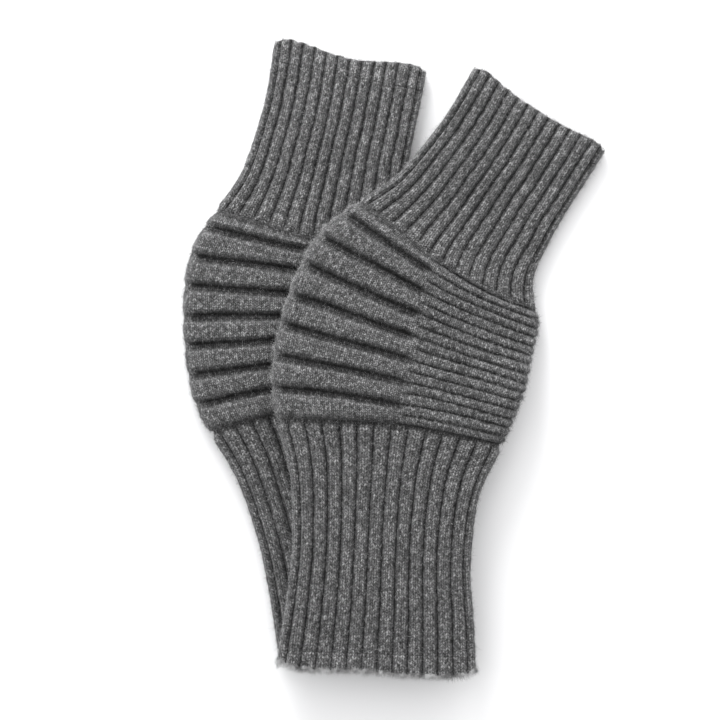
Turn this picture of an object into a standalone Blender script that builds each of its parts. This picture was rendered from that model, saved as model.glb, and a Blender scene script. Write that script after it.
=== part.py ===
"""A pair of knitted warmers for a bending joint, lying flat, one sleeve half over the other.

Each sleeve is an open knitted tube: a ribbed cuff at both ends, and between them a bend section with
eight padded welts round its front fold and one finely ribbed panel round its back fold.
World frame: X to the right and Y up as the pair is seen from above, Z up off the table.
The script works in millimetres and scales to metres as it makes each mesh.
"""

import math

import bpy
import numpy as np

MM = 0.001

# ---- driving dimensions, in mm ----
CUFF_THICK = 11.5  # a flattened cuff, both layers and the hollow between them
PAD_THICK = 14.0  # the same at the bend section
WALL = 2.6  # one layer of ribbed knit
WELT_WALL = 3.6  # one padded layer
WELT_DIP = 1.0  # how far a welt's edges lie below its crown
GAP = 0.6  # between neighbouring sections
LINE_GAP = 1.0  # between the welts and the back panel
HEM = 9.0  # length of each finished edge
GAUGE_LINE = 0.55  # share of the width, from the front fold, where welts give way to fine ribs
LAST_WELT = 0.65  # width of the welt beside the upper cuff, against the others
WELTS = 8
REST_HEIGHT = 14.8  # the upper sleeve's underside where it lies on the lower one
DRAPE_EDGE = (20.0, 11.0)  # X where the upper sleeve starts down to the table, beside pad and upper cuff
DRAPE_EDGE_Y = (45.0, 80.0)  # the stretch of Y over which that edge moves from one to the other
DRAPE_RUN = 43.0  # how far across it comes all the way down
DRAPE_Y = (-28.0, 27.0)  # below the first of these it stays level
BEND_PIVOT = (30.0, 5.0)  # the middle of the fan of welts, beside the back fold

MIDDLE = (-0.8, 2.1)  # the pair's middle in the plan below, which goes to the origin
REAR_TURN = 21.0  # the lower sleeve, against the upper one, in degrees
REAR_SHIFT = (-47.0, 8.0)
REAR_UNBEND = 4.0  # how much straighter the lower sleeve lies, in degrees
REAR_GATHER = 0.035  # share of its long cuff's length that it lies gathered up by

# The two folds of a sleeve lying flat, from the lower mouth to the upper one.
FRONT_FOLD = {
    "lower_cuff": [(-62.8, -160.7), (-59.8, -141.0), (-54.2, -92.0), (-56.8, -51.3), (-62.3, -30.1)],
    "pad": [(-62.3, -30.1), (-64.8, -9.0), (-62.8, 10.2), (-55.2, 38.2), (-39.5, 68.0), (-18.9, 85.4)],
    "upper_cuff": [(-18.9, 85.4), (1.7, 98.7), (13.8, 112.0), (28.2, 131.2), (42.3, 155.5)],
}
BACK_FOLD = {
    "lower_cuff": [(43.6, -164.0), (42.6, -141.0), (40.8, -102.0), (47.0, -66.0), (57.7, -44.3)],
    "pad": [(57.7, -44.3), (64.2, -29.1), (69.8, -14.0), (73.8, 4.2), (76.6, 19.0), (74.3, 28.5)],
    "upper_cuff": [(74.3, 28.5), (73.3, 43.0), (81.6, 64.8), (96.1, 89.1), (110.6, 112.0)],
}
SECTIONS = ("lower_cuff", "pad", "upper_cuff")
# How far the lines across the pad bow away from a straight chord: at its lower end, and at its upper end
BOW = (4.8, -6.0)

GREY = {"rib": (0.155, 0.155, 0.158), "welt": (0.165, 0.165, 0.168), "hem": (0.20, 0.20, 0.203)}
ROUGHNESS = 0.95


# ---- curves and cross sections ----

def smoothstep(x, start, end):
    t = min(max((x - start) / (end - start), 0.0), 1.0)
    return t * t * (3 - 2 * t)


def lengths_along(points):
    steps = np.linalg.norm(np.diff(points, axis=0), axis=1)
    return np.concatenate([[0.0], np.cumsum(steps)])


class Fold:
    """A smooth line through the points of one fold; section k runs from k to k + 1."""

    def __init__(self, sections):
        points, at = [sections[SECTIONS[0]][0]], [0.0]
        for k, name in enumerate(SECTIONS):
            run = np.array(sections[name], float)
            share = lengths_along(run)
            share /= share[-1]
            points += [tuple(p) for p in run[1:]]
            at += list(k + share[1:])
        self.points, self.at = np.array(points), np.array(at)
        self.along = lengths_along(self.points)
        self.slopes = np.gradient(self.points, self.along, axis=0)

    def __call__(self, s):
        """The point at section coordinate s, by cubic pieces that share their slopes."""
        length = np.interp(s, self.at, self.along)
        k = min(max(np.searchsorted(self.along, length) - 1, 0), len(self.along) - 2)
        span = self.along[k + 1] - self.along[k]
        t = (length - self.along[k]) / span
        return (
            (2 * t**3 - 3 * t**2 + 1) * self.points[k]
            + (t**3 - 2 * t**2 + t) * span * self.slopes[k]
            + (3 * t**2 - 2 * t**3) * self.points[k + 1]
            + (t**3 - t**2) * span * self.slopes[k + 1]
        )


FRONT = Fold(FRONT_FOLD)
BACK = Fold(BACK_FOLD)


def bow_at(s):
    """Bow of the cross line at s: it grows over the cuffs' inner halves and changes sign over the pad."""
    if s < 1:
        return BOW[0] * smoothstep(s, 0.45, 1)
    if s > 2:
        return BOW[1] * (1 - smoothstep(s, 2, 2.55))
    return BOW[0] + (BOW[1] - BOW[0]) * (s - 1)


def across(s, t):
    """The plan point at section coordinate s, a share t of the way from front fold to back fold."""
    a, b = FRONT(s), BACK(s)
    chord = b - a
    normal = np.array([-chord[1], chord[0]]) / np.linalg.norm(chord)
    skew = 1 + 0.35 * smoothstep(s, 1, 2)
    bow = bow_at(s) * math.sin(math.pi * min(max(t, 0.0), 1.0) ** skew)
    return a + t * chord + bow * normal


def width_at(s):
    return float(np.linalg.norm(BACK(s) - FRONT(s)))


def thickness_at(s):
    pad = smoothstep(s, 0.86, 1.08) * (1 - smoothstep(s, 1.92, 2.14))
    return CUFF_THICK + (PAD_THICK - CUFF_THICK) * pad


def turned(point, degrees, pivot=(0.0, 0.0)):
    c, s = math.cos(math.radians(degrees)), math.sin(math.radians(degrees))
    x, y = point[0] - pivot[0], point[1] - pivot[1]
    return np.array([pivot[0] + c * x - s * y, pivot[1] + s * x + c * y])


def lay_front(point):
    """The upper sleeve: its plan is the shape itself, and it drapes from the lower sleeve to the table."""
    x, y = point
    edge = DRAPE_EDGE[0] + (DRAPE_EDGE[1] - DRAPE_EDGE[0]) * smoothstep(y, *DRAPE_EDGE_Y)
    fall = smoothstep(x, edge, edge + DRAPE_RUN) * smoothstep(y, *DRAPE_Y)
    return x, y, REST_HEIGHT * (1 - fall)


def lay_rear(point, s):
    """The lower sleeve: the same shape, bent a little less, turned, moved and flat on the table."""
    less = REAR_UNBEND * (1 - smoothstep(s, 0.8, 2.0))
    x, y = turned(turned(point, -less, BEND_PIVOT), REAR_TURN)
    return x + REAR_SHIFT[0], y + REAR_SHIFT[1], 0.0


def lay(sleeve, point, s):
    x, y, z = lay_front(point) if sleeve == "front" else lay_rear(point, s)
    return x - MIDDLE[0], y - MIDDLE[1], z


def ring(width, thick, part, flat_steps=7, fold_steps=4):
    """(share across, height) round a flattened tube: 'tube' is all of it, 'front' or 'back' a C."""
    r = thick / 2
    fold = [math.radians(90 * k / fold_steps) for k in range(fold_steps + 1)]
    low_arc = [(r * (1 - math.sin(a)), r * (1 - math.cos(a))) for a in fold]
    front = low_arc + [(x, thick - z) for x, z in low_arc[-2::-1]]
    back = [(width - x, z) for x, z in reversed(front)]
    if part == "tube":
        start, end = front[-1][0], back[0][0]
        top = [(start + (end - start) * k / flat_steps, thick) for k in range(1, flat_steps)]
        loop = front + top + back + [(x, 0.0) for x, _ in reversed(top)]
    else:
        line = width * GAUGE_LINE + (-0.5 if part == "front" else 0.5) * LINE_GAP
        start, end = (front[-1][0], line) if part == "front" else (back[0][0], line)
        reach = [start + (end - start) * k / flat_steps for k in range(1, flat_steps + 1)]
        arc = front if part == "front" else back
        first_z = arc[0][1]
        loop = [(x, first_z) for x in reversed(reach)] + arc + [(x, thick - first_z) for x in reach]
    return [(x / width, z) for x, z in loop]


# ---- meshes ----

def material(kind):
    """One wool material for each kind of knit, shared by the pieces made of it."""
    name = kind + "_knit"
    found = bpy.data.materials.get(name)
    if found:
        return found
    made = bpy.data.materials.new(name)
    made.use_nodes = True
    shader = made.node_tree.nodes["Principled BSDF"]
    shader.inputs["Base Color"].default_value = (*GREY[kind], 1.0)
    shader.inputs["Roughness"].default_value = ROUGHNESS
    shader.inputs["Metallic"].default_value = 0.0
    made.diffuse_color = (*GREY[kind], 1.0)
    return made


def add_shell(name, rows, closed, wall, kind, pivot, collection):
    """One section: a loft through the rows of points, thickened inwards, with its origin on the pivot."""
    count = len(rows[0])
    origin = np.array([*pivot, 0.0])
    points = [tuple((np.array(p) - origin) * MM) for row in rows for p in row]
    faces = []
    for r in range(len(rows) - 1):
        for k in range(count if closed else count - 1):
            a, b = r * count + k, r * count + (k + 1) % count
            faces.append((a, b, b + count, a + count))
    mesh = bpy.data.meshes.new(name)
    mesh.from_pydata(points, [], faces)
    piece = bpy.data.objects.new(name, mesh)
    piece.location = origin * MM
    collection.objects.link(piece)
    shell = piece.modifiers.new("wall", "SOLIDIFY")
    shell.thickness = wall * MM
    shell.offset = -1.0
    shell.use_rim = True
    mesh.materials.append(material(kind))
    mesh.shade_smooth()
    mesh.set_sharp_from_angle(angle=math.radians(40))
    return piece


def rows_between(sleeve, start, end, steps, part="tube", roll=0.0):
    """Rows of points from section coordinate start to end; roll dips the first and last row inwards."""
    rows = []
    for k in range(steps + 1):
        s = start + (end - start) * k / steps
        width, thick = width_at(s), thickness_at(s)
        dip = roll * abs(2 * k / steps - 1) ** 2
        row = []
        for t, z in ring(width - 2 * dip, thick - 2 * dip, part):
            share = (t * (width - 2 * dip) + dip) / width
            x, y, base = lay(sleeve, across(s, share), s)
            row.append((x, y, base + z + dip))
        rows.append(row)
    return rows


def section_length(section):
    return (FRONT.along[FRONT.at == section + 1] - FRONT.along[FRONT.at == section])[0]


def gap_share(section):
    return 0.5 * GAP / section_length(section)


def add_cuff(sleeve, section, mouth_at_end, pivot, collection):
    """A ribbed tube and the finished edge at its mouth."""
    name = SECTIONS[section]
    hem_share, margin = HEM / section_length(section), gap_share(section)
    start, end = section + margin, section + 1 - margin
    hem_name = "upper_hem" if mouth_at_end else "lower_hem"
    if mouth_at_end:
        cuff, hem = (start, end - hem_share), (end - hem_share + 2 * margin, section + 1)
    else:
        mouth = section + (REAR_GATHER if sleeve == "rear" else 0.0)
        cuff, hem = (mouth + hem_share + 2 * margin, end), (mouth, mouth + hem_share)
    for piece, (a, b), steps, kind in ((name, cuff, 6, "rib"), (hem_name, hem, 1, "hem")):
        rows = rows_between(sleeve, a, b, steps)
        add_shell(f"{sleeve}_{piece}", rows, True, WALL, kind, pivot, collection)


def add_pad(sleeve, pivot, collection):
    """Eight padded welts round the front fold, and the finely ribbed panel round the back fold."""
    unit = 1 / (WELTS - 1 + LAST_WELT)
    margin = gap_share(1)
    for k in range(WELTS):
        start = 1 + k * unit + margin
        end = 1 + min((k + 1) * unit, 1) - margin
        rows = rows_between(sleeve, start, end, 4 if k < WELTS - 1 else 2, "front", WELT_DIP)
        add_shell(f"{sleeve}_welt_{k + 1}", rows, False, WELT_WALL, "welt", pivot, collection)
    rows = rows_between(sleeve, 1 + margin, 2 - margin, 7, "back")
    add_shell(f"{sleeve}_back_panel", rows, False, WALL, "rib", pivot, collection)


def add_sleeve(sleeve, collection):
    pivot = lay(sleeve, BEND_PIVOT, 2.0)[:2]
    add_cuff(sleeve, 0, False, pivot, collection)
    add_pad(sleeve, pivot, collection)
    add_cuff(sleeve, 2, True, pivot, collection)


def main():
    for old in list(bpy.data.objects):
        bpy.data.objects.remove(old)
    collection = bpy.data.collections.new("knitted_warmers")
    bpy.context.scene.collection.children.link(collection)
    for sleeve in ("rear", "front"):
        add_sleeve(sleeve, collection)


main()
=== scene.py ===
"""The looks of the pair of knitted warmers: every knitted section as a real ribbed, welted surface in wool.

Lengths are in millimetres until a mesh is made, in the CAD's own frame: X right, Y up, Z off the table.
"""

import math

import bpy
import numpy as np
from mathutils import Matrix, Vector


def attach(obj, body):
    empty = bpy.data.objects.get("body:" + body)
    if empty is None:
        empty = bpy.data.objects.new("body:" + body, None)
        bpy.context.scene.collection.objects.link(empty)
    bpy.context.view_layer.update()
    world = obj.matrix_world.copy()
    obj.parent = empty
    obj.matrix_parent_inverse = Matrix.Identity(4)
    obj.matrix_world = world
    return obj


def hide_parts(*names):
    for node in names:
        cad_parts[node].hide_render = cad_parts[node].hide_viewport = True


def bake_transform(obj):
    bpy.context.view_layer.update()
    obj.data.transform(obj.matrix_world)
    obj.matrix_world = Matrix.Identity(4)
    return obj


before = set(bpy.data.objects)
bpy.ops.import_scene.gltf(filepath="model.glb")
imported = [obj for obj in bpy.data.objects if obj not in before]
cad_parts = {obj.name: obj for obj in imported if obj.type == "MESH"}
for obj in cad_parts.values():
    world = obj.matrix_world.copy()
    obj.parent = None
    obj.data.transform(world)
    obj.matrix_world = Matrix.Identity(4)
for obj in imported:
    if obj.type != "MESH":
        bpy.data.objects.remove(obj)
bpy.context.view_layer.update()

MM = 0.001

# ---- the sleeve's plan and thickness, as in the CAD ----
CUFF_THICK = 11.5  # a flattened cuff, both layers and the hollow between them
PAD_THICK = 14.0  # the same at the bend section
HEM = 9.0  # length of each finished edge
GAUGE_LINE = 0.55  # share of the width where the welts give way to fine ribs
LAST_WELT = 0.65  # width of the welt beside the upper cuff, against the others
WELTS = 8
WELT_SHARE = 1 / (WELTS - 1 + LAST_WELT)  # of the pad's length
REST_HEIGHT = 14.8  # the upper sleeve's underside where it lies on the lower one
DRAPE_EDGE = (20.0, 11.0)  # X where the upper sleeve starts down to the table, beside pad and upper cuff
DRAPE_EDGE_Y = (45.0, 80.0)  # the stretch of Y over which that edge moves from one to the other
DRAPE_RUN = 43.0  # how far across it comes all the way down
DRAPE_Y = (-28.0, 27.0)  # below the first of these it stays level
BEND_PIVOT = (30.0, 5.0)  # the middle of the fan of welts, beside the back fold
MIDDLE = (-0.8, 2.1)  # the pair's middle in the plan below, which goes to the origin
REAR_TURN = 21.0  # the lower sleeve, against the upper one, in degrees
REAR_SHIFT = (-47.0, 8.0)
REAR_UNBEND = 4.0  # how much straighter the lower sleeve lies, in degrees
REAR_GATHER = 0.035  # share of its long cuff's length that it lies gathered up by
BOW = (4.8, -6.0)  # how far the courses bow at the bottom and at the top of the pad
FRONT_FOLD = {
    "lower_cuff": [(-62.8, -160.7), (-59.8, -141.0), (-54.2, -92.0), (-56.8, -51.3), (-62.3, -30.1)],
    "pad": [(-62.3, -30.1), (-64.8, -9.0), (-62.8, 10.2), (-55.2, 38.2), (-39.5, 68.0), (-18.9, 85.4)],
    "upper_cuff": [(-18.9, 85.4), (1.7, 98.7), (13.8, 112.0), (28.2, 131.2), (42.3, 155.5)],
}
BACK_FOLD = {
    "lower_cuff": [(43.6, -164.0), (42.6, -141.0), (40.8, -102.0), (47.0, -66.0), (57.7, -44.3)],
    "pad": [(57.7, -44.3), (64.2, -29.1), (69.8, -14.0), (73.8, 4.2), (76.6, 19.0), (74.3, 28.5)],
    "upper_cuff": [(74.3, 28.5), (73.3, 43.0), (81.6, 64.8), (96.1, 89.1), (110.6, 112.0)],
}
SECTIONS = ("lower_cuff", "pad", "upper_cuff")

# ---- what the looks add to the CAD's plain shells ----
WALL = 3.8  # one layer of ribbed knit, before its grooves are sunk into it; thicker than in the CAD
WELT_WALL = 5.6  # one padded layer, likewise
CROWN = 1.5  # how much the upper sleeve's padding stands up in the middle
FLARE = {"front": (0.9, 1.6), "rear": (1.0, 1.2)}  # how much wider the upper cuffs lie, at each fold
SECTION_REACH = 100.0  # length of one unit of s beyond a mouth

# ---- the knit ----
RIBS = 28  # round a cuff
RIB_GROOVE = 2.1  # depth of the sunk column between two ribs
RIB_GROOVE_WIDE = 1.2
RIB_ROUND = 0.9  # how much a rib's sides fall before the groove
WELT_FLOOR = (0.8, 2.0)  # the bottom of the groove between two welts, above and below where they meet
WELT_BANK = (3.6, 5.4)  # where the banks end: the upper welt's lower side, the lower welt's upper side
WELT_DEEP = 4.1  # depth of that groove
FINE_GROOVE = 1.9  # depth of the groove between two fine ribs
BUNCH = 2.2  # how far the knit bunches up at the back fold, where the upper cuff bends away
BUNCH_WIDE = 5.0  # to either side of the fold
BUNCH_LONG = 0.15  # to either side of the seam, as a share of a section
GAUGE_LEAN = 7.0  # how far the gauge line leans to the front fold at the top of the pad
WALES_PER_RIB = 3
PAD_WALES = 124  # columns of stitches round the pad
ROW = 1.6  # height of one row of stitches in a cuff
WELT_ROWS = 78  # rows of stitches over the welts' side of the pad
PANEL_ROWS = 48
MOUTH_ROUND = 200.0  # the way round a mouth, roughly
LIP_ROUND = 2.2  # radius of the edge of a mouth
CUFF_STEP = 0.8  # between two rows of points along a cuff
HEM_ROWS = 16
WELT_GRID = (24, 240)  # rows and columns of points on a welt
LAST_WELT_ROWS = 12
PANEL_GRID = (180, 200)
HAIR = 2.6  # length of a common hair
FOLD_HAIR = (1.6, 6.0)  # the shortest and the longest at a fold
FRINGE_HAIR = 5.0  # at the fluffy mouth
FOLD_HAIR_SPREAD = 2.2  # how far from a fold its hairs grow
FIBRES_PER_MM2 = 0.27
FOLD_FIBRES = 25  # more of them for each mm of a fold
FRINGE_FIBRES = 26  # for each mm of the fluffy mouth
FIBRE_THICK = 0.055
SEED = 7

# ---- the view from above, in metres ----
CAMERA_HEIGHT = 2.0
VIEW_WIDTH = 0.3794
VIEW_MIDDLE = (-0.0174, -0.0010)
VIEW_LEVEL = 0.02  # the height at which the view is that wide
FLOOR_HALF = 1.6
FLOOR_Z = -0.0006  # just under the lowest stitches and hairs


# ---- small helpers ----

def smoothstep(x, start, end):
    t = np.clip((np.asarray(x, float) - start) / (end - start), 0.0, 1.0)
    return t * t * (3 - 2 * t)


def wobble(a, b, seed, waves=6):
    """A smooth uneven field, about -1 to 1, that turns over once in some 2 to 6 units of a and b."""
    draw = np.random.default_rng(seed)
    total = 0.0
    for _ in range(waves):
        angle, pitch = draw.uniform(0, 2 * math.pi), draw.uniform(1.0, 3.0)
        across, along = pitch * math.cos(angle), pitch * math.sin(angle)
        total = total + np.sin(across * a + along * b + draw.uniform(0, 2 * math.pi))
    return total / math.sqrt(waves) / 1.4


def lengths_along(points):
    steps = np.linalg.norm(np.diff(points, axis=0), axis=1)
    return np.concatenate([[0.0], np.cumsum(steps)])


class Fold:
    """A smooth line through the points of one fold; section k runs from k to k + 1."""

    def __init__(self, sections):
        points, at = [sections[SECTIONS[0]][0]], [0.0]
        for k, name in enumerate(SECTIONS):
            run = np.array(sections[name], float)
            share = lengths_along(run)
            share /= share[-1]
            points += [tuple(p) for p in run[1:]]
            at += list(k + share[1:])
        self.points, self.at = np.array(points), np.array(at)
        self.along = lengths_along(self.points)
        self.slopes = np.gradient(self.points, self.along, axis=0)

    def __call__(self, s):
        over = np.clip(s - 3, 0, None) * SECTION_REACH + np.clip(s, None, 0) * SECTION_REACH
        length = np.interp(s, self.at, self.along) + over
        k = np.clip(np.searchsorted(self.along, length) - 1, 0, len(self.along) - 2)
        span = (self.along[k + 1] - self.along[k])[..., None]
        t = (length - self.along[k])[..., None] / span
        return (
            (2 * t**3 - 3 * t**2 + 1) * self.points[k]
            + (t**3 - 2 * t**2 + t) * span * self.slopes[k]
            + (3 * t**2 - 2 * t**3) * self.points[k + 1]
            + (t**3 - t**2) * span * self.slopes[k + 1]
        )

    def section_length(self, k):
        return float(np.interp(k + 1, self.at, self.along) - np.interp(k, self.at, self.along))


FRONT = Fold(FRONT_FOLD)
BACK = Fold(BACK_FOLD)
SECTION_LENGTH = [(FRONT.section_length(k) + BACK.section_length(k)) / 2 for k in range(3)]


def bow_at(s):
    low = BOW[0] * smoothstep(s, 0.45, 1)
    high = BOW[1] * (1 - smoothstep(s, 2, 2.55))
    pad = BOW[0] + (BOW[1] - BOW[0]) * (s - 1)
    return np.where(s < 1, low, np.where(s > 2, high, pad))


def across(s, t):
    """The plan points at section coordinate s, a share t of the way from front fold to back fold."""
    a, b = FRONT(s), BACK(s)
    chord = b - a
    normal = np.stack([-chord[..., 1], chord[..., 0]], -1)
    normal /= np.linalg.norm(chord, axis=-1)[..., None]
    skew = 1 + 0.35 * smoothstep(s, 1, 2)
    bow = bow_at(s) * np.sin(math.pi * np.clip(t, 0, 1) ** skew)
    return a + t[..., None] * chord + bow[..., None] * normal


def width_at(s):
    return np.linalg.norm(BACK(s) - FRONT(s), axis=-1)


def pad_share(s):
    """1 over the pad, 0 over the cuffs."""
    return smoothstep(s, 0.86, 1.08) * (1 - smoothstep(s, 1.92, 2.14))


def thickness_at(s):
    return CUFF_THICK + (PAD_THICK - CUFF_THICK) * pad_share(s)


def round_at(s):
    """The way round the flattened tube."""
    thick = thickness_at(s)
    return 2 * (width_at(s) - thick) + math.pi * thick


def gauge_line_at(s):
    """The gauge line's place, as a share of the way round from the front fold's middle."""
    thick = thickness_at(s)
    return (math.pi * thick / 4 + GAUGE_LINE * width_at(s) - thick / 2) / round_at(s)


def ring(width, thick, w):
    """Place across, height and outward normal, at a share w of the way round from the front fold."""
    r = thick / 2
    flat = width - thick
    way = np.mod(w, 1.0) * (2 * flat + math.pi * thick)
    quarter = math.pi * r / 2
    ends = [quarter, quarter + flat, 3 * quarter + flat, 3 * quarter + 2 * flat]
    a = way / r
    b = (way - ends[1]) / r
    c = (way - ends[3]) / r
    cases = [way < ends[0], way < ends[1], way < ends[2], way < ends[3]]
    nx = np.select(cases, [-np.cos(a), 0 * a, np.sin(b), 0 * a], -np.sin(c))
    nz = np.select(cases, [np.sin(a), 0 * a + 1, np.cos(b), 0 * a - 1], -np.cos(c))
    top = r + way - ends[0]
    under = width - r - (way - ends[2])
    x = np.select(cases, [r + r * nx, top, width - r + r * nx, under], r + r * nx)
    return x, r + r * nz, nx, nz


def turned(x, y, degrees, pivot=(0.0, 0.0)):
    angle = np.radians(degrees)
    c, s = np.cos(angle), np.sin(angle)
    x, y = x - pivot[0], y - pivot[1]
    return pivot[0] + c * x - s * y, pivot[1] + s * x + c * y


def place(sleeve, s, w, h):
    """Points of the sleeve at section coordinate s, share w of the way round and height h over its skin."""
    width, thick = width_at(s), thickness_at(s)
    x, z, nx, nz = ring(width, thick, w)
    x, z = x + nx * h, z + nz * h
    share = x / width
    front_flare, back_flare = FLARE[sleeve]
    wider = smoothstep(s, 2.05, 2.4) * (back_flare * share - front_flare * (1 - share)) / width
    plan = across(s, share + wider)
    px, py = plan[..., 0], plan[..., 1]
    if sleeve == "front":
        z = z + CROWN * pad_share(s) * np.clip(nz, 0, 1) * np.sin(math.pi * np.clip(share, 0, 1))
        edge = DRAPE_EDGE[0] + (DRAPE_EDGE[1] - DRAPE_EDGE[0]) * smoothstep(py, *DRAPE_EDGE_Y)
        fall = smoothstep((px - edge) / DRAPE_RUN, 0, 1) * smoothstep(py, *DRAPE_Y)
        z = z + REST_HEIGHT * (1 - fall)
    else:
        less = REAR_UNBEND * (1 - smoothstep(s, 0.8, 2.0))
        px, py = turned(px, py, -less, BEND_PIVOT)
        px, py = turned(px, py, REAR_TURN)
        px, py = px + REAR_SHIFT[0], py + REAR_SHIFT[1]
    return np.stack([px - MIDDLE[0], py - MIDDLE[1], z], -1)


def mouth_at(sleeve, upper, w):
    """Section coordinate of the uneven edge of a mouth; its corners at the folds are rounded."""
    corner = np.abs(np.cos(2 * math.pi * w))
    at_fold = np.abs(w * 2 - np.round(w * 2)) * 0.5 * MOUTH_ROUND
    rounded = 3.8 * np.exp(-((at_fold / 8.5) ** 2))
    uneven = -rounded + 0.3 * wobble(w * 60, 0, SEED + 8) + 0.1 * np.cos(2 * math.pi * w * RIBS)
    if upper:
        corner = 4.6 * corner**1.5 + 0.3 if sleeve == "rear" else 4.2 * corner**4 - 0.6
        return 3 + (corner + uneven) / SECTION_REACH
    droop = 1.4 * smoothstep(-np.cos(2 * math.pi * w), -0.2, 0.5)
    start = REAR_GATHER if sleeve == "rear" else 0.0
    return start - (droop + uneven) / SECTION_REACH


# ---- relief: height of the knit over the sleeve's skin ----

def rib_relief(s, w):
    """Two raised columns and one sunk one, 28 times round; the ribs end bluntly at the pad."""
    upper = s > 1.5
    length = np.where(upper, SECTION_LENGTH[2], SECTION_LENGTH[0])
    to_pad = np.where(upper, s - 2, 1 - s) * length
    pitch = round_at(s) / RIBS
    slow = 0.022 * wobble(s * 9, w * RIBS * 0.9, SEED)
    quick = 0.03 * wobble(s * length / 2.2, w * RIBS * 2, SEED + 9)
    uneven = slow + quick
    phase = w * RIBS + uneven
    share = phase - np.floor(phase)
    off = np.minimum(share, 1 - share) * pitch
    groove = np.exp(-((off / RIB_GROOVE_WIDE) ** 2))
    crown = np.abs(2 * share - 1) ** 2.5
    middle = np.exp(-(((share - 0.5) * pitch / 0.5) ** 2))
    start = smoothstep(to_pad / np.where(upper, 3.5, 5.5), 0, 1)
    return (
        -RIB_GROOVE * start * groove
        - RIB_ROUND * (0.4 + 0.6 * start) * crown
        - 0.28 * middle
        - np.where(upper, 1.2, 2.5) * (1 - start)
        + 0.16 * wobble(s * length / 1.3, w * RIBS * 4.5, SEED + 1)
        + 0.25 * wobble(s * length / 14, w * RIBS * 0.45, SEED + 2)
    )


def pad_relief(s, w):
    """Padded welts round the front fold, giving way at the gauge line to fine ribs, two to a welt."""
    v = np.clip(s - 1, 0, 1)
    w = np.mod(w, 1.0)
    side = np.minimum(w, 1 - w)  # share of the way round, from the front fold
    around = round_at(s)
    reach = side * around
    line = gauge_line_at(s) * around
    t = np.clip((reach - 8) / (0.5 * around - 16), 0, 1)
    length = FRONT.section_length(1) * (1 - t) + BACK.section_length(1) * t
    uneven = 0.035 * wobble(reach / 22, v * 16, SEED + 3) + 0.016 * wobble(reach / 2.5, v * 40, SEED + 11)
    at = v / WELT_SHARE + uneven
    band = np.clip(np.floor(at), 0, WELTS - 1)
    size = np.where(band > WELTS - 1.5, LAST_WELT, 1.0)
    xi = np.clip((at - band) / size, 0, 1)
    up = xi * size * WELT_SHARE * length  # from the welt's lower edge
    down = (1 - xi) * size * WELT_SHARE * length
    lower = 1 - smoothstep(up, WELT_FLOOR[0], WELT_BANK[0])
    upper = 0.78 * (1 - smoothstep(down, WELT_FLOOR[1], WELT_BANK[1])) + 0.22 * (1 - smoothstep(down, 0, 1))
    inside = smoothstep((1 - v) * length, 0.5, 5.0) * (0.35 + 0.65 * smoothstep(v * length, 0.5, 5.0))
    fade = 0.18 + 0.82 * smoothstep(reach, 2, 10)
    welt = -WELT_DEEP * (0.35 + 0.65 * inside) * fade * np.maximum(lower, upper)
    fine_at = 2 * at
    fine_off = np.abs(fine_at - np.round(fine_at)) * 0.5 * WELT_SHARE * length
    loose = 1.5 * wobble(reach / 9, v * 30, SEED + 7)
    knots = np.sin(reach * 2 * math.pi / 2.6 + np.floor(fine_at) * math.pi + loose)
    flatter = 1 - 0.45 * smoothstep(reach, 0.5 * around - 9, 0.5 * around)
    fine = -0.6 + flatter * (0.2 * knots - FINE_GROOVE * np.exp(-((fine_off / 0.95) ** 2)))
    line = line - GAUGE_LEAN * smoothstep(v, 0.35, 1)
    mix = smoothstep(reach + 1.5 * wobble(v * 40, side * 3, SEED + 4), line - 6.0, line + 1.5)
    end = 1 - smoothstep((1 - v) * length, 0, 6.0)
    at_fold = 1 - smoothstep(reach, 2, 14)
    start = 1 - smoothstep(v * length, 0, 3.0)
    return (
        welt * (1 - mix) + fine * mix
        - (0.7 + 1.0 * at_fold) * end
        - (0.3 + 0.9 * mix) * start
        + 0.17 * wobble(reach / 1.3, v * length / 1.2, SEED + 5)
        + 0.3 * wobble(reach / 16, v * length / 14, SEED + 6)
    )


def relief(s, w):
    """The height of the knit anywhere; it bunches at the back fold, where the upper cuff bends away."""
    knit = np.where((s > 1) & (s < 2), pad_relief(s, w), rib_relief(s, w))
    from_back = np.abs(np.mod(w, 1) - 0.5) * round_at(s)
    return knit + BUNCH * np.exp(-((from_back / BUNCH_WIDE) ** 2) - ((s - 2) / BUNCH_LONG) ** 2)


def stitches(s, w):
    """(columns, rows) of stitches, counted round the tube and along it."""
    length = np.where(s > 1.5, SECTION_LENGTH[2], SECTION_LENGTH[0])
    cuff = (w * RIBS * WALES_PER_RIB - 0.5, s * length / ROW)
    side = np.minimum(np.mod(w, 1), 1 - np.mod(w, 1))
    panel = side > gauge_line_at(s)
    rows = (s - 1) * np.where(panel, PANEL_ROWS, WELT_ROWS)
    pad = (w * PAD_WALES, rows)
    in_pad = (s > 1) & (s < 2)
    return np.where(in_pad, pad[0], cuff[0]), np.where(in_pad, pad[1], cuff[1])


# ---- meshes ----

def grid_faces(rows, columns, closed, first=0):
    """Quads over a grid of points, as part of a list that starts at first."""
    across_count = columns if closed else columns - 1
    i, j = np.meshgrid(np.arange(rows - 1), np.arange(across_count), indexing="ij")
    a = first + i * columns + j
    b = first + i * columns + (j + 1) % columns
    return np.stack([a, b, b + columns, a + columns], -1).reshape(-1, 4)


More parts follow.
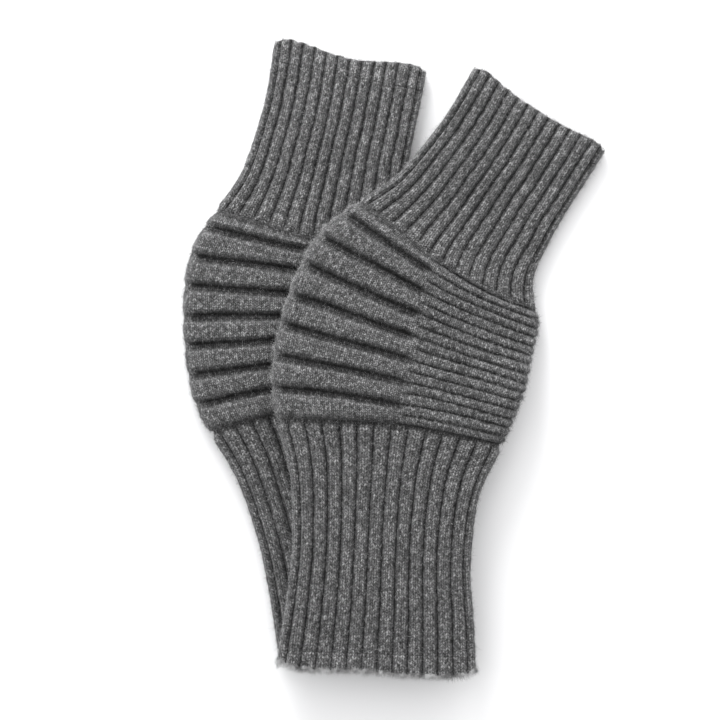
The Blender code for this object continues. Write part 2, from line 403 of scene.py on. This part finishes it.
def mesh_of(name, points, faces, corners):
    """A mesh from points in millimetres, a list of face arrays and one knit coordinate for each corner."""
    mesh = bpy.data.meshes.new(name)
    loops = np.concatenate([f.ravel() for f in faces])
    sizes = np.concatenate([np.full(len(f), f.shape[1]) for f in faces])
    starts = np.concatenate([[0], np.cumsum(sizes)[:-1]])
    mesh.vertices.add(len(points))
    mesh.vertices.foreach_set("co", (points * MM).astype(np.float32).ravel())
    mesh.loops.add(len(loops))
    mesh.loops.foreach_set("vertex_index", loops.astype(np.int32))
    mesh.polygons.add(len(sizes))
    mesh.polygons.foreach_set("loop_start", starts.astype(np.int32))
    mesh.update(calc_edges=True)
    mesh.validate()
    mesh.shade_smooth()
    if corners is not None:
        knit = mesh.attributes.new("knit", "FLOAT_VECTOR", "CORNER")
        knit.data.foreach_set("vector", corners.astype(np.float32).ravel())
    return mesh


def link(name, mesh, material):
    piece = bpy.data.objects.new(name, mesh)
    mesh.materials.append(material)
    bpy.context.scene.collection.objects.link(piece)
    return piece


def knit_shell(name, sleeve, s, w, closed, wall, material, lip=None):
    """A closed shell of knit: a fine outer face with its relief, a coarser inner face, and rims between.

    lip is how far each point lies from an open mouth, in millimetres; the edge is rounded over there.
    """
    rows, columns = s.shape
    height = relief(s, w)
    s_in, w_in = s[::2, ::2], w[::2, ::2]
    lining = -wall + 0.3 * np.cos(2 * math.pi * w_in * RIBS)
    if lip is not None:
        over = np.sqrt(1 - (1 - np.clip(lip / LIP_ROUND, 0, 1)) ** 2)
        height = height * over - 0.5 * wall * (1 - over)
        lining = lining + (wall * 0.35) * (1 - over[::2, ::2])
    outer = place(sleeve, s, w, height)
    inner = place(sleeve, s_in, w_in, lining)
    in_rows, in_columns = s_in.shape
    first = rows * columns
    points = np.concatenate([outer.reshape(-1, 3), inner.reshape(-1, 3)])
    skin = grid_faces(rows, columns, closed)
    back = grid_faces(in_rows, in_columns, closed, first)[:, ::-1]
    o = np.arange(rows * columns).reshape(rows, columns)
    n = first + np.arange(in_rows * in_columns).reshape(in_rows, in_columns)
    if closed:
        o = np.concatenate([o, o[:, :1]], 1)
        n = np.concatenate([n, n[:, :1]], 1)
    rims = [
        np.stack([n[0, :-1], n[0, 1:], o[0, 2::2], o[0, 1::2], o[0, :-1:2]], -1),
        np.stack([o[-1, :-1:2], o[-1, 1::2], o[-1, 2::2], n[-1, 1:], n[-1, :-1]], -1),
    ]
    if not closed:
        rims += [
            np.stack([o[:-1:2, 0], o[1::2, 0], o[2::2, 0], n[1:, 0], n[:-1, 0]], -1),
            np.stack([o[2::2, -1], o[1::2, -1], o[:-1:2, -1], n[:-1, -1], n[1:, -1]], -1),
        ]
    column, row = stitches(s, w)
    # the third component is the height, which the wool turns into painted shade in the grooves
    knit = np.stack([column, row, height], -1).reshape(-1, 3)
    lined = np.stack([column[::2, ::2], row[::2, ::2], lining], -1).reshape(-1, 3)
    knit = np.concatenate([knit, lined])
    faces = [skin, back, np.concatenate(rims)]
    corners = np.concatenate([knit[f.ravel()] for f in faces])
    if closed:
        whole = stitches(s[:1, :1], w[:1, :1] + 1)[0] - stitches(s[:1, :1], w[:1, :1])[0]
        wrap_columns(corners, faces, float(whole.ravel()[0]))
    return link(name, mesh_of(name, points, faces, corners), material)


def wrap_columns(corners, faces, whole):
    """Where a face spans the seam of the count round the tube, its far corners count on past the whole."""
    at = 0
    for f in faces:
        block = corners[at : at + f.size].reshape(len(f), f.shape[1], 3)
        spans = block[:, :, 0].max(1) - block[:, :, 0].min(1) > whole / 2
        low = block[spans][:, :, 0] < block[spans][:, :, 0].max(1, keepdims=True) - whole / 2
        block[spans, :, 0] = block[spans][:, :, 0] + low * whole
        at += f.size


def even(count):
    return max(2, 2 * int(round(count / 2)))


def tube_grid(start, end, rows, per_rib=12):
    """Rows of points round a cuff, from start to end; either may vary round the cuff."""
    q = np.linspace(0, 1, even(rows) + 1)[:, None]
    w = np.arange(RIBS * per_rib)[None] / (RIBS * per_rib)
    s = start + (end - start) * q
    return s + 0 * w, w + 0 * q


def hem_grid(start, mouth, rows, per_rib=12):
    """The rows of a hem, closer together towards its uneven mouth."""
    q = np.linspace(0, 1, even(rows) + 1)[:, None]
    q = 1 - (1 - q) ** 1.7
    w = np.arange(RIBS * per_rib)[None] / (RIBS * per_rib)
    s = start + (mouth(w) - start) * q
    return s, w + 0 * q


def band_grid(start, end, rows, columns, part):
    """A C-shaped band of the pad: 'front' round the front fold, 'back' round the back fold."""
    along = np.linspace(start, end, even(rows) + 1)
    s, q = np.meshgrid(along, np.linspace(0, 1, even(columns) + 1), indexing="ij")
    line = gauge_line_at(s)
    w = -line + 2 * line * q if part == "front" else line + (1 - 2 * line) * q
    return s, w


# ---- materials ----

class Nodes:
    """A short way to write a material's node tree."""

    def __init__(self, material):
        material.use_nodes = True
        self.tree = material.node_tree
        self.shader = self.tree.nodes["Principled BSDF"]

    def add(self, kind, **settings):
        node = self.tree.nodes.new(kind)
        for name, value in settings.items():
            setattr(node, name, value)
        return node

    def join(self, source, target):
        self.tree.links.new(source, target)

    def math(self, operation, a, b=None):
        node = self.add("ShaderNodeMath", operation=operation)
        for socket, value in zip(node.inputs, (a, b)):
            if value is None:
                continue
            if isinstance(value, (int, float)):
                socket.default_value = value
            else:
                self.join(value, socket)
        return node.outputs[0]

    def noise(self, scale, detail=2.0, roughness=0.6):
        coordinates = self.add("ShaderNodeTexCoord")
        node = self.add("ShaderNodeTexNoise")
        node.inputs["Scale"].default_value = scale
        node.inputs["Detail"].default_value = detail
        node.inputs["Roughness"].default_value = roughness
        self.join(coordinates.outputs["Object"], node.inputs["Vector"])
        return node.outputs["Fac"]

    def ramp(self, value, stops):
        node = self.add("ShaderNodeValToRGB")
        elements = node.color_ramp.elements
        while len(elements) < len(stops):
            elements.new(0.5)
        for element, (at, grey) in zip(elements, stops):
            element.position = at
            element.color = (grey, grey, grey * 1.01, 1)
        self.join(value, node.inputs["Fac"])
        return node.outputs["Color"]


def wool(name, light, deep, spread):
    """Heather grey wool: mixed light and dark fibre, V-shaped stitches in relief, painted shade in the gaps
    between legs and the bottoms of grooves, and a soft sheen.

    light scales its tone; deep is the height, in millimetres, at which the painted shade in a groove is
    darkest;
    spread is how gently dark fibre gives way to light.
    """
    material = bpy.data.materials.new(name)
    n = Nodes(material)
    knit = n.add("ShaderNodeAttribute", attribute_name="knit")
    parts = n.add("ShaderNodeSeparateXYZ")
    n.join(knit.outputs["Vector"], parts.inputs[0])
    column, row, height = parts.outputs
    # a stitch is a V: two legs side by side, each slanting down to the column's middle
    leg = n.math("ABSOLUTE", n.math("SUBTRACT", n.math("MULTIPLY", n.math("FRACT", column), 2.0), 1.0))
    rising = n.math("ADD", row, n.math("MULTIPLY", leg, 0.8))
    slant = n.math("FRACT", rising)
    along = n.math("SINE", n.math("MULTIPLY", slant, math.pi))
    over = n.math("SINE", n.math("MULTIPLY", n.math("FRACT", n.math("MULTIPLY", column, 2.0)), math.pi))
    stitch = n.math("POWER", n.math("MULTIPLY", along, over), 0.6)
    heather = n.noise(600, 3.0, 0.75)
    speck = n.noise(1700, 1.0, 0.5)
    # the yarn's tone changes from one leg of a stitch to the next
    which = n.add("ShaderNodeCombineXYZ")
    n.join(n.math("FLOOR", n.math("MULTIPLY", column, 2.0)), which.inputs[0])
    n.join(n.math("FLOOR", rising), which.inputs[1])
    tone = n.add("ShaderNodeTexWhiteNoise", noise_dimensions="2D")
    n.join(which.outputs[0], tone.inputs["Vector"])
    blobs = n.math("ADD", n.math("MULTIPLY", heather, 0.61), n.math("MULTIPLY", speck, 0.27))
    mixed = n.math("ADD", blobs, n.math("MULTIPLY", tone.outputs["Value"], 0.12))
    dark_fibre, mixed_fibre, light_fibre = 0.013 * light, 0.088 * light, 0.33 * light
    colour = n.ramp(mixed, [(0.5 - spread, dark_fibre), (0.5, mixed_fibre), (0.5 + spread, light_fibre)])
    # painted shade: the gaps between legs and the bottoms of the grooves are darkened, as shade falls there
    gap_shade = n.math("ADD", n.math("MULTIPLY", stitch, 0.95), 0.29)
    # painted shade in the grooves: the colour darkens with the knit's depth below its skin
    groove_shade = n.add("ShaderNodeMapRange")
    groove_shade.inputs["From Min"].default_value = deep
    groove_shade.inputs["From Max"].default_value = 0.3 * deep
    groove_shade.inputs["To Min"].default_value = 0.12
    groove_shade.inputs["To Max"].default_value = 1.0
    n.join(height, groove_shade.inputs["Value"])
    # the painted shade of gaps and grooves multiplies the wool's colour
    shade = n.math("MULTIPLY", gap_shade, groove_shade.outputs[0])
    tint = n.add("ShaderNodeMix", data_type="RGBA", blend_type="MULTIPLY")
    tint.inputs["Factor"].default_value = 1.0
    n.join(colour, tint.inputs["A"])
    n.join(shade, tint.inputs["B"])
    n.join(tint.outputs["Result"], n.shader.inputs["Base Color"])
    bumps = n.math("ADD", n.math("MULTIPLY", stitch, 1.1), n.math("MULTIPLY", mixed, 0.8))
    bump = n.add("ShaderNodeBump")
    bump.inputs["Strength"].default_value = 0.8
    bump.inputs["Distance"].default_value = 0.0006
    n.join(bumps, bump.inputs["Height"])
    n.join(bump.outputs[0], n.shader.inputs["Normal"])
    rough = n.math("ADD", n.math("MULTIPLY", heather, 0.15), 0.82)
    n.join(rough, n.shader.inputs["Roughness"])
    n.shader.inputs["Specular IOR Level"].default_value = 0.25
    n.shader.inputs["Sheen Weight"].default_value = 0.15
    n.shader.inputs["Sheen Roughness"].default_value = 0.4
    n.shader.inputs["Sheen Tint"].default_value = (0.9, 0.9, 0.92, 1)
    return material


def fibre_wool(name):
    """The loose surface fibre: single hairs, some dark, some light."""
    material = bpy.data.materials.new(name)
    n = Nodes(material)
    colour = n.ramp(n.noise(260, 1.0, 0.5), [(0.35, 0.14), (0.5, 0.32), (0.65, 0.55)])
    n.join(colour, n.shader.inputs["Base Color"])
    n.shader.inputs["Roughness"].default_value = 0.8
    n.shader.inputs["Specular IOR Level"].default_value = 0.2
    n.shader.inputs["Sheen Weight"].default_value = 0.2
    return material


# ---- loose fibre ----

def fuzz(name, sleeve, s, w, reach, outward, material, draw):
    """Closed tapering hairs of two lengths each, rooted in the knit at (s, w).

    reach is each hair's length; outward leans it along the sleeve, up for 1 and down for -1.
    """
    count = len(s)
    height = relief(s, w)
    root = place(sleeve, s, w, height - 0.25)
    step = 0.01
    inside = np.clip(s, step, 3 - step)
    along = unit(place(sleeve, inside + step, w, height) - place(sleeve, inside - step, w, height))
    out = unit(place(sleeve, s, w, height + 0.75) - root)
    side = unit(np.cross(along, out))
    angle = draw.uniform(0, 2 * math.pi, count)[:, None]
    flat = np.cos(angle) * along + np.sin(angle) * side + 1.6 * outward[:, None] * along
    under = out[:, 2:] < -0.3
    rise = draw.uniform(0.1, 1.1, count)[:, None] * np.where(under, 0.1, 1)
    length = reach[:, None] * draw.uniform(0.4, 1.0, count)[:, None]
    middle = root + 0.5 * length * unit(flat + rise * out)
    bend = draw.normal(0, 0.5, (count, 3))
    tip = middle + 0.5 * length * unit(flat + 0.7 * rise * out + bend)
    # hairs underneath lie flat, and so do those that the other sleeve rests on
    low = np.where(under[:, 0], root[:, 2] - 0.45, 0.1)
    high = REST_HEIGHT - 0.55 if sleeve == "rear" else np.inf
    for part in (middle, tip):
        part[:, 2] = np.clip(part[:, 2], np.maximum(low, 0.1), high)
    u = unit(np.cross(tip - root, draw.normal(0, 1, (count, 3))))
    v = unit(np.cross(tip - root, u))
    thirds = [(math.cos(a), math.sin(a)) for a in (0, 2 * math.pi / 3, 4 * math.pi / 3)]
    base = [root + FIBRE_THICK * (c * u + d * v) for c, d in thirds]
    mid = [middle + 0.8 * FIBRE_THICK * (c * u + d * v) for c, d in thirds]
    points = np.stack(base + mid + [tip], 1).reshape(-1, 3)
    k = 7 * np.arange(count)[:, None]
    quads = np.concatenate([k + np.array([[a, (a + 1) % 3, 3 + (a + 1) % 3, 3 + a]]) for a in range(3)])
    tris = [k + np.array([[3 + a, 3 + (a + 1) % 3, 6]]) for a in range(3)] + [k + np.array([[2, 1, 0]])]
    return link(name, mesh_of(name, points, [quads, np.concatenate(tris)], None), material)


def unit(x):
    return x / np.maximum(np.linalg.norm(x, axis=-1, keepdims=True), 1e-9)


# ---- the sleeves ----

def follow_bend(piece, sleeve):
    """Bakes the piece's placement into its mesh; the pad's direction and the ends of its bend are worked
    out here but not used.
    """
    middle = place(sleeve, np.array([2.0, 1.0]), np.full(2, 0.25), np.zeros(2))
    down = middle[1] - middle[0]
    down[2] = 0
    down /= np.linalg.norm(down)
    ends = np.array([0.0, 0.5])
    upper = place(sleeve, np.full(2, 2.0), ends, np.zeros(2)) @ down
    lower = place(sleeve, np.full(2, 1.0), ends, np.zeros(2)) @ down
    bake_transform(piece)


def add_cuff(sleeve, section, materials):
    """A cuff with its hem; they ride together on one body."""
    upper = section == 2
    length = SECTION_LENGTH[section]
    hem_share = HEM / FRONT.section_length(section)
    mouth = 3.0 if upper else (REAR_GATHER if sleeve == "rear" else 0.0)
    split = mouth - hem_share if upper else mouth + hem_share
    body = f"{sleeve}_top" if upper else f"{sleeve}_lower"
    end = "upper" if upper else "lower"
    start, stop = (2.0, split) if upper else (split, 1.0)
    s, w = tube_grid(start, stop, (stop - start) * length / CUFF_STEP)
    cuff = knit_shell(f"{sleeve}_{end}_cuff_knit", sleeve, s, w, True, WALL, materials["rib"])
    s, w = hem_grid(split, lambda x: mouth_at(sleeve, upper, x), HEM_ROWS)
    lip = np.abs(s - mouth_at(sleeve, upper, w)) * length
    if not upper:
        s, w, lip = s[::-1], w[::-1], lip[::-1]
    hem = knit_shell(f"{sleeve}_{end}_hem_knit", sleeve, s, w, True, WALL, materials["hem"], lip)
    for piece, part, slot in ((cuff, "cuff", "rib_knit"), (hem, "hem", "hem_knit")):
        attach(piece, body)
        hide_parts(f"{sleeve}_{end}_{part}")
    return cuff, hem


def add_pad(sleeve, materials):
    """The eight welts round the front fold and the finely ribbed panel round the back fold."""
    pieces = []
    for k in range(WELTS):
        a = 1 + k * WELT_SHARE
        b = 1 + min((k + 1) * WELT_SHARE, 1.0)
        rows = WELT_GRID[0] if k < WELTS - 1 else LAST_WELT_ROWS
        s, w = band_grid(a, b, rows, WELT_GRID[1], "front")
        piece = knit_shell(f"{sleeve}_welt_{k + 1}_knit", sleeve, s, w, False, WELT_WALL, materials["welt"])
        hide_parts(f"{sleeve}_welt_{k + 1}")
        pieces.append(piece)
    s, w = band_grid(1.0, 2.0, *PANEL_GRID, "back")
    panel = knit_shell(f"{sleeve}_back_panel_knit", sleeve, s, w, False, WALL, materials["rib"])
    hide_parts(f"{sleeve}_back_panel")
    pieces.append(panel)
    for piece in pieces:
        follow_bend(piece, sleeve)
    return pieces


def add_fuzz(sleeve, section, material):
    """Hairs all over a section, thicker along its two folds, and a fringe at its mouth."""
    name = ("lower_cuff", "bend", "upper_cuff")[section]
    draw = np.random.default_rng(SEED + 10 + section + (5 if sleeve == "rear" else 0))
    start = REAR_GATHER if section == 0 and sleeve == "rear" else float(section)
    around = float(np.mean(round_at(np.linspace(section, section + 1, 9))))
    long = (section + 1 - start) * SECTION_LENGTH[section]
    even_count = int(around * long * FIBRES_PER_MM2)
    fold_count = int(2 * long * FOLD_FIBRES)
    s = draw.uniform(start, section + 1, even_count + fold_count)
    w = draw.uniform(0, 1, even_count + fold_count)
    off_fold = draw.normal(0, FOLD_HAIR_SPREAD, fold_count) / around
    w[even_count:] = np.round(w[even_count:] * 2) / 2 + off_fold
    reach = np.full(len(s), HAIR)
    longer = FOLD_HAIR[1] - FOLD_HAIR[0]
    reach[even_count:] = FOLD_HAIR[0] + longer * draw.uniform(0, 1, fold_count) ** 3
    outward = np.zeros(len(s))
    if section != 1:
        fluffy = sleeve == "front" and section == 0
        fringe = int(around * (FRINGE_FIBRES if fluffy else 0.4 * FRINGE_FIBRES))
        round_w = draw.uniform(0, 1, fringe)
        back = np.abs(draw.normal(0, 1.0, fringe)) / SECTION_LENGTH[section]
        sign = 1 if section == 2 else -1
        s = np.concatenate([s, mouth_at(sleeve, section == 2, round_w) - sign * back])
        w = np.concatenate([w, round_w])
        reach = np.concatenate([reach, np.full(fringe, FRINGE_HAIR if fluffy else HAIR)])
        outward = np.concatenate([outward, np.full(fringe, float(sign))])
    piece = fuzz(f"{sleeve}_{name}_fuzz", sleeve, s, w, reach, outward, material, draw)
    if section == 1:
        follow_bend(piece, sleeve)
    else:
        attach(piece, f"{sleeve}_lower" if section == 0 else f"{sleeve}_top")
    return piece


def add_sleeve(sleeve, materials):
    for section in (0, 2):
        cuff, hem = add_cuff(sleeve, section, materials)
        loose = add_fuzz(sleeve, section, materials["fibre"])
        around = float(np.mean(round_at(np.linspace(section, section + 1, 9))))
    pieces = add_pad(sleeve, materials)
    add_fuzz(sleeve, 1, materials["fibre"])
    s = np.linspace(1, 2, 9)
    wide = float(np.mean(round_at(s) * (1 - 2 * gauge_line_at(s))))


# ---- floor, light and camera ----

def add_floor():
    mesh = bpy.data.meshes.new("floor")
    signs = ((-1, -1), (1, -1), (1, 1), (-1, 1))
    corners = [(x * FLOOR_HALF, y * FLOOR_HALF, 0) for x, y in signs]
    mesh.from_pydata(corners, [], [(0, 1, 2, 3)])
    material = bpy.data.materials.new("floor")
    n = Nodes(material)
    tone = n.ramp(n.noise(3.0, 2.0), [(0.3, 0.84), (0.5, 0.85), (0.7, 0.86)])
    n.join(tone, n.shader.inputs["Base Color"])
    n.shader.inputs["Roughness"].default_value = 0.9
    n.shader.inputs["Specular IOR Level"].default_value = 0.1
    floor = link("floor", mesh, material)
    floor.location.z = FLOOR_Z


def add_light(name, at, target, size, power):
    lamp = bpy.data.lights.new(name, "AREA")
    lamp.shape = "DISK"
    lamp.size = size
    lamp.energy = power
    light = bpy.data.objects.new(name, lamp)
    light.location = at
    aim = np.array(target) - np.array(at)
    light.rotation_mode = "QUATERNION"
    light.rotation_quaternion = Vector(aim).to_track_quat("-Z", "Y")
    bpy.context.scene.collection.objects.link(light)


def add_world(strength):
    world = bpy.data.worlds.new("studio")
    world.use_nodes = True
    background = world.node_tree.nodes["Background"]
    background.inputs["Color"].default_value = (1, 1, 1, 1)
    background.inputs["Strength"].default_value = strength
    bpy.context.scene.world = world


def add_camera():
    """Straight down, far off, so that the pair is seen almost without perspective."""
    camera = bpy.data.cameras.new("camera")
    camera.sensor_width = 36
    camera.lens = camera.sensor_width * CAMERA_HEIGHT / VIEW_WIDTH
    camera.clip_end = 20
    seen = bpy.data.objects.new("camera", camera)
    seen.location = (VIEW_MIDDLE[0], VIEW_MIDDLE[1], CAMERA_HEIGHT + VIEW_LEVEL)
    bpy.context.scene.collection.objects.link(seen)
    bpy.context.scene.camera = seen


def main():
    materials = {
        "rib": wool("rib_knit", light=1.08, deep=-3.4, spread=0.17),
        "welt": wool("welt_knit", light=1.06, deep=-4.25, spread=0.175),
        "hem": wool("hem_knit", light=1.24, deep=-3.7, spread=0.17),
        "fibre": fibre_wool("loose_fibre"),
    }
    add_floor()
    for sleeve in ("rear", "front"):
        add_sleeve(sleeve, materials)
    add_world(0.87)
    add_light("key", at=(-1.1, 0.85, 1.7), target=(0, 0, 0), size=3.4, power=28)
    add_light("rim", at=(-0.25, 0.7, 0.4), target=(0.05, 0.1, 0), size=0.5, power=6.5)
    add_light("fill", at=(0.5, 0.9, 0.6), target=(0.06, 0.08, 0), size=0.8, power=5)
    add_camera()
    bpy.context.scene.view_settings.view_transform = "Standard"


main()
